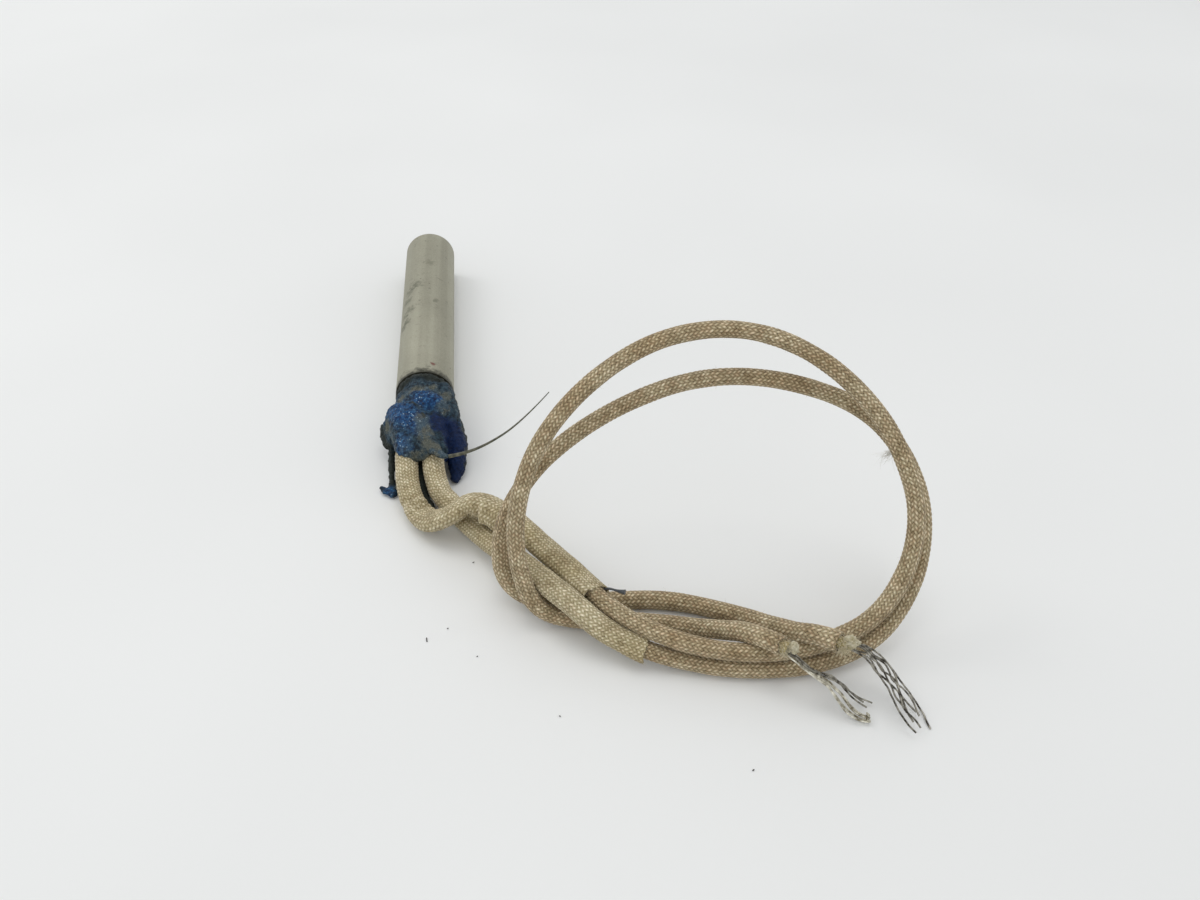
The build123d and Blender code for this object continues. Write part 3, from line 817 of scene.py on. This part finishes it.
def white_tuft():
    """A few white fibres that stand off the inner side of lead A's loop."""
    draw = np.random.default_rng(77)
    start = np.array(place(81.6, -58.9, 30.2))
    lines = []
    for _ in range(44):
        root = start + draw.normal(0, 0.3, 3) * MM
        lean = np.array([-0.9, 0.1, -0.4]) + draw.normal(0, 0.45, 3)
        length = draw.uniform(0.7, 1.9) * MM
        lines.append(hair(root, lean, draw.normal(0, 0.5, 3), length))
    obj = wires("lead_a_white_tuft", white_fibre_paint, lines, TUFT_RADIUS * MM, tapered=True)
    settle(obj, "lead_a")


# ------ silicone
def lumps(chains):
    """Mesh of overlapping blobs, strung along chains of (x, y, height, three radii)."""
    shape = bmesh.new()
    for chain in chains:
        for start, end in zip(chain, chain[1:]):
            start, end = np.array(start, float), np.array(end, float)
            steps = max(2, int(np.linalg.norm(end[:3] - start[:3]) / 0.6))
            for number in range(steps + 1):
                x, y, height, *radii = start + (end - start) * number / steps
                made = bmesh.ops.create_icosphere(shape, subdivisions=3, radius=1.0)["verts"]
                centre = place(x, y, height)
                for vertex in made:
                    stretched = [c * r * MM for c, r in zip(vertex.co, radii)]
                    vertex.co = centre + Vector(stretched)
    mesh = bpy.data.meshes.new("silicone_lump")
    shape.to_mesh(mesh)
    shape.free()
    return mesh


def one_skin(mesh, name, voxel, smoothing):
    """One closed skin around overlapping shapes."""
    source = in_scene("source", mesh)
    remesh = source.modifiers.new("skin", "REMESH")
    remesh.mode, remesh.voxel_size = "VOXEL", voxel
    soften = source.modifiers.new("soften", "SMOOTH")
    soften.factor, soften.iterations = 0.5, smoothing
    graph = bpy.context.evaluated_depsgraph_get()
    skin = bpy.data.meshes.new_from_object(source.evaluated_get(graph))
    bpy.data.objects.remove(source)
    skin.name = name
    return skin


def away_from(spots, points):
    """Distance in millimetres of each spot from a line of (x, y, height) points."""
    points = np.array(points, float)
    if len(points) == 1:
        return np.linalg.norm(spots - points[0], axis=1)
    nearest = np.full(len(spots), 1e9)
    for start, end in zip(points, points[1:]):
        run = end - start
        share = np.clip((spots - start) @ run / run.dot(run), 0, 1)[:, None]
        nearest = np.minimum(nearest, np.linalg.norm(spots - start - share * run, axis=1))
    return nearest


def silicone_lump():
    """The lump round the mouth, with grains, ridges and fields that tell the shader where it is dirty and
    where painted shade goes.
    """
    mesh = one_skin(lumps(LUMP_CHAINS), "silicone_lump", 0.22 * MM, 3)
    spots = [vertex.co.copy() for vertex in mesh.vertices]
    outs = [vertex.normal.copy() for vertex in mesh.vertices]
    moved, warped = [], []
    for spot, out in zip(spots, outs):
        coarse = noise.fractal(spot / (3.0 * MM), 0.9, 2.0, 3)
        ridge = noise.ridged_multi_fractal(spot / (4.0 * MM), 0.8, 2.1, 3, 1.0, 2.0)
        grains = noise.noise(spot / (0.5 * MM))
        shift = 0.34 * coarse + 0.18 * (ridge - 1.2) + 0.2 * grains
        put = spot + out * shift * MM
        moved += [put.x, put.y, max(put.z, FLOOR)]
        warp = noise.noise_vector(spot / (2.2 * MM)) * 1.1 + noise.noise_vector(spot / (0.7 * MM)) * 0.4
        warped.append((spot.x / MM + warp.x, spot.y / MM + warp.y, (spot.z - FLOOR) / MM + warp.z))
    mesh.vertices.foreach_set("co", moved)
    mesh.update()
    warped = np.array(warped)
    for field, marks in LUMP_SHADES.items():
        shares = [1.5 * (1 - away_from(warped, points) / reach) for points, reach in marks]
        values = np.clip(np.max(shares, axis=0), 0, 1)
        mesh.attributes.new(field, "FLOAT", "POINT").data.foreach_set("value", values)
    settle(smooth_piece("silicone_lump", mesh, silicone_paint), "silicone_potting")


LUMP_CHAINS = [
    # the body, from the mouth to the lip over the sleeves
    [(0, 0.8, 6.3, 5.5, 1.2, 5.5), (0, -3, 6.6, 6.0, 2.5, 5.9), (-0.6, -7, 6.7, 6.2, 3.4, 5.5),
     (-1.6, -12, 6.8, 5.8, 3.8, 4.8), (-1.4, -17.5, 7.4, 4.8, 3.4, 3.9), (-0.9, -21, 7.9, 4.1, 2.3, 2.3)],
    # its right half, over the other sleeve, and the collar that laps over the sheath's rim
    [(2.2, -11, 6.2, 3.6, 3, 4.8), (2.4, -16, 6.2, 3.2, 3, 4.0), (2.6, -20, 6.0, 2.8, 1.9, 3.0)],
    [(0, -0.6, 6.35, 6.45, 0.75, 6.4), (0, -1.2, 6.4, 6.3, 1.4, 6.3)],
    # a bead between the sleeves, painted dark: painted shade that fills the shaded gap where they nearly
    # touch
    [(-0.8, -20, 2.6, 1.3, 2, 2.4), (-0.6, -25, 1.7, 0.9, 2, 1.6), (0.2, -29, 1.3, 0.8, 1.6, 1.2),
     (1.3, -31.4, 1.1, 0.9, 1.4, 1.0)],
    # the lobe on the crown and the lobe left of it, with a cleft between them
    [(-0.8, -6.6, 9.5, 3.8, 2.0, 3.0), (2.4, -8.8, 9.6, 3.0, 2.6, 3.0), (3.2, -10.6, 9.0, 2.2, 1.8, 2.4)],
    [(-4.4, -10.2, 8.4, 2.8, 2.4, 3.1), (-3.4, -14.0, 8.8, 3.2, 2.8, 2.9), (-2.0, -18, 8.6, 3.2, 2.6, 2.4),
     (-2.2, -20.6, 7.9, 3.0, 1.8, 2.0)],
    # bulge and rugged bits on the left
    [(-5.0, -7.5, 6.6, 2.8, 2.2, 3.4), (-6.2, -10, 5.8, 2.6, 2.4, 3.2), (-6.4, -12.5, 4.9, 2.1, 1.8, 2.6),
     (-6.5, -14.5, 4.2, 1.2, 1.3, 1.8)],
    [(-8.6, -9.3, 5.5, 0.6, 0.7, 0.8), (-8.9, -11.2, 4.6, 0.7, 0.8, 0.9), (-8.4, -12.8, 4.1, 0.6, 0.6, 0.8),
     (-7.8, -13.9, 3.5, 0.6, 0.6, 0.7)],
    # thin drip on the left and its foot
    [(-6.9, -13.8, 3.6, 0.8, 0.9, 1.2), (-7.0, -18, 2.2, 0.6, 0.9, 0.9), (-6.8, -22, 1.3, 0.6, 0.8, 0.8),
     (-6.7, -24, 0.9, 0.9, 0.8, 0.7)],
    [(-6.5, -25.5, 0.7, 1.1, 1.3, 0.6), (-7.8, -25.0, 0.7, 1.0, 0.9, 0.55),
     (-8.8, -24.1, 0.8, 0.5, 0.5, 0.5)],
    # sheet that hangs on the right
    [(4.6, -3, 6.6, 2.3, 2.6, 5.0), (5.4, -8, 6.2, 2.3, 3.0, 4.6), (5.9, -12.5, 5.4, 2.3, 2.6, 4.0),
     (6.7, -14.6, 4.6, 2.3, 2.2, 3.4), (6.8, -19, 3.2, 1.9, 2.4, 2.8), (6.7, -21, 2.1, 1.8, 1.8, 1.8),
     (6.1, -22.9, 1.1, 1.0, 0.9, 0.9)],
    # grey film that draws out into the string
    [(0.8, -16.5, 9.5, 1.6, 1.8, 1.4), (1.6, -20, 9.2, 1.6, 1.8, 1.1), (2.6, -22.6, 8.8, 1.4, 1.2, 0.8),
     (4.0, -24.2, 8.6, 0.8, 0.6, 0.5), (5.2, -24.9, 8.65, 0.5, 0.4, 0.42),
     (6.8, -25.0, 8.9, 0.4, 0.4, 0.36)],
]
# Lines on the lump, and how far each shade spreads from them.
LUMP_SHADES = {
    "bright": [
        ([(0.2, -8.8, 12.4), (3.0, -9.8, 12.2)], 3.8),
        ([(-6.4, -9.0, 10.2), (-3.4, -13.6, 11.4), (-0.6, -16.0, 11.0)], 4.2), ([(-4.0, -20.4, 8.6)], 3.0),
        ([(-7.4, -25.2, 1.2)], 2.4),
    ],
    "navy": [
        # the hollow behind the sheet that hangs on the right: painted shade, partly navy silicone
        ([(4.2, -15.0, 8.2), (5.8, -15.5, 7.2), (6.4, -19, 5.4)], 4.0),
        ([(6.6, -20, 4.0), (6.2, -23, 1.4)], 3.8),
    ],
    "dirt": [
        ([(-4.8, -6.6, 11.4), (-0.8, -5.6, 12.7), (3.6, -5.2, 12.0), (5.4, -7.4, 10.6),
          (4.4, -11, 10.6)], 1.7),
        ([(0.6, -15.2, 11.2), (1.0, -20, 10.4), (2.8, -23.4, 9.4), (6.5, -25, 8.9)], 2.7),
        ([(-7.6, -11.5, 7.4), (-5.8, -17.5, 7.6), (-2.5, -22.8, 7.6), (1.5, -23.5, 7.6)], 1.7),
    ],
    "soot": [
        # painted shade and soot where the collar meets the sheath's rim
        ([(-6.4, -0.2, 6), (-4.4, -0.2, 11), (0, -0.2, 12.8), (4.4, -0.2, 11), (6.4, -0.2, 6)], 3.3),
        # painted shade in the gap between the sleeves, along the bead there
        ([(-0.8, -20, 2.6), (-0.6, -25, 2.6), (0.2, -30, 1.4), (1.4, -32.5, 1.4)], 5.5),
        ([(-8.8, -8.8, 5.4), (-9, -11.5, 4.8), (-8, -14, 3.8), (-7, -18, 2.3), (-6.9, -22.5, 1.4)], 2.4),
        ([(7.0, -3.3, 7), (8, -9, 6.5), (8.8, -13.5, 5.6), (9.0, -17, 4.2), (8.8, -20.8, 2.2)], 1.9),
        # painted shade in the cleft between the two lobes
        ([(-2.0, -9.8, 11.8), (0.0, -12.4, 11.6), (1.6, -15.4, 10.8)], 0.8),
    ],
}
STRING_ROUTE = [
    (5.6, -24.9, 8.7), (8.0, -25.0, 9.1), (11.0, -24.6, 9.7), (15.0, -22.9, 10.4), (20.6, -18.6, 11.2),
    (27.0, -10.2, 12.4),
]


def silicone_string():
    line = [place(*position) for position in STRING_ROUTE]
    obj = wires("silicone_string", string_paint, [line], 0.42 * MM, tapered=True)
    obj.data.resolution_u = 12
    settle(obj, "silicone_tail")


# ------ stage
def stage():
    bpy.ops.mesh.primitive_plane_add(size=4.0, location=(0, 0, FLOOR))
    floor = bpy.context.object
    floor.name = "floor"
    floor.data.materials.append(floor_paint())
    specks()
    world = bpy.data.worlds.new("soft_room")
    bpy.context.scene.world = world
    world.use_nodes = True
    background = world.node_tree.nodes["Background"]
    background.inputs["Color"].default_value = (0.98, 0.99, 1.0, 1.0)
    background.inputs["Strength"].default_value = ROOM_STRENGTH
    area_light("window", (-520, 380, 620), 420)
    area_light("ceiling", (60, 100, 900), 500)


def specks():
    """A few bits of dust and fibre that lie round the probe."""
    lines = [[place(x, y, 0.1), place(x + dx / 2, y + dy / 2, 0.15), place(x + dx, y + dy, 0.1)]
             for x, y, dx, dy in ((9.4, -46.9, 0.3, 0.2), (4.7, -62.8, 0.2, 0.1), (1.2, -65.4, -0.1, 0.9),
                                  (9.8, -69.7, 0.2, 0.1), (23.0, -83.5, 0.2, -0.1), (52.0, -97.0, 0.3, 0.2))]
    return wires("specks", fibre("dust", (70, 64, 56), (40, 36, 32)), lines, 0.1 * MM)


def area_light(name, position, size):
    data = bpy.data.lights.new(name, "AREA")
    data.shape, data.size, data.energy = "DISK", size * MM, LIGHT_POWER
    data.color = (1.0, 0.99, 0.97)
    light = in_scene(name, data)
    light.location = place(*position)
    aim = place(*LIGHT_AIM) - light.location
    light.rotation_euler = aim.to_track_quat("-Z", "Y").to_euler()


def camera():
    flat = math.cos(CAMERA_ELEVATION)
    east, north = math.sin(CAMERA_AZIMUTH) * flat, math.cos(CAMERA_AZIMUTH) * flat
    look = Vector((east, north, -math.sin(CAMERA_ELEVATION)))
    data = bpy.data.cameras.new("camera")
    data.lens, data.sensor_width, data.clip_start = CAMERA_LENS, CAMERA_SENSOR, CAMERA_NEAREST * MM
    obj = in_scene("camera", data)
    obj.location = place(*CAMERA_AIM) - look * CAMERA_DISTANCE * MM
    obj.rotation_euler = look.to_track_quat("-Z", "Y").to_euler()
    bpy.context.scene.camera = obj


def repaint(material, *names):
    for name in names:
        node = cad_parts[name]
        node.data.materials.clear()
        node.data.materials.append(material)


lead_weave_paint, sleeve_weave_paint, inner_weave_paint = lead_weave(), sleeve_weave(), inner_weave()
lead_fibre_paint = fibre("lead_fibre", (214, 204, 180), (160, 144, 110))
sleeve_fibre_paint = fibre("sleeve_fibre", (226, 218, 196), (176, 162, 128))
inner_fibre_paint = fibre("inner_fibre", (226, 218, 194), (186, 172, 130))
white_fibre_paint = fibre("white_fibre", (246, 246, 242), (214, 212, 204))
cotton_paint = solid("matted_fibre", (172, 160, 116), (232, 226, 204), 0.8, 0.2, Roughness=0.9)
stray_paint = fibre("stray_fibre", (96, 100, 104), (44, 46, 50))
silicone_paint, string_paint = silicone(), string_silicone()
wire_paint = wire_metal("dull_wire", (66, 62, 55), (178, 174, 162))
bright_wire_paint = wire_metal("bright_wire", (128, 120, 100), (238, 234, 218))

camera()
stage()
lead_a, line_a = lead("a", LEAD_A_ROUTE, LEAD_A_THICKNESS, 11)
lead_b, line_b = lead("b", LEAD_B_ROUTE, LEAD_B_THICKNESS, 12)
sleeve("a", line_a, SLEEVE_A_RUNS, LEAD_A_ROUTE, SLEEVE_A_WIDTH, SLEEVE_A_HEIGHT, SLEEVE_A_DENTS, 21)
sleeve("b", line_b, SLEEVE_B_RUNS, LEAD_B_ROUTE, SLEEVE_B_WIDTH, SLEEVE_B_HEIGHT, SLEEVE_B_DENTS, 22)
conductor("a", LEAD_A_ROUTE)
conductor("b", LEAD_B_ROUTE)
strands_a, strands_b = bare_strands_a(), bare_strands_b()
inner_layer("a", line_a, 1.1, 31)
inner_layer("b", line_b, 1.5, 32)
cotton("a", (61.5, -81.2, 9.2), (1.0, 0.9, 1.0), 3)
cotton("b", (71.1, -81.1, 9.1), (1.45, 1.05, 1.15), 8)
stray_thread()
white_tuft()
silicone_lump()
silicone_string()

repaint(sheath_metal(), "sheath_tube", "sheath_end_disc")
repaint(solid("bung_rubber", (28, 30, 32), (52, 54, 54), 1.5, 0.03, Roughness=0.8), "mouth_plug")
repaint(wire_metal("splice_metal", (150, 148, 140), (198, 196, 188)), "splice_barrel_a", "splice_barrel_b")
repaint(wire_metal("pin_metal", (132, 130, 122), (190, 186, 176)),
        "element_pin_a", "element_pin_b", "element_winding")
repaint(solid("ceramic_white", (214, 208, 194), (236, 232, 222), 2.0, 0.02, Roughness=0.7),
        "insulator_bead_1", "insulator_bead_2", "insulator_bead_3", "element_core", "tip_spacer")
repaint(solid("cover_ceramic", (196, 194, 180), (216, 214, 204), 3.0, 0.01, Roughness=0.25), "element_cover")
repaint(solid("oxide_powder", (204, 202, 196), (226, 224, 218), 0.8, 0.05, Roughness=0.95), "oxide_packing")

for letter, braid, line, route, length, strands in (
        ("a", lead_a, line_a, LEAD_A_ROUTE, LEAD_A_LENGTH, strands_a),
        ("b", lead_b, line_b, LEAD_B_ROUTE, LEAD_B_LENGTH, strands_b)):
    others = [f"lead_{letter}_fuzz", f"lead_{letter}_frayed_rim", f"sleeve_{letter}_weave",
              f"sleeve_{letter}_fuzz", f"sleeve_{letter}_frayed_rim", f"conductor_{letter}_core",
              f"lead_{letter}_inner_braid", f"lead_{letter}_tuft", f"lead_{letter}_matted_fibres"]
    others += ["stray_thread", "lead_a_white_tuft"] if letter == "a" else []

view = bpy.context.scene.view_settings
view.view_transform, view.look = "Standard", "None"
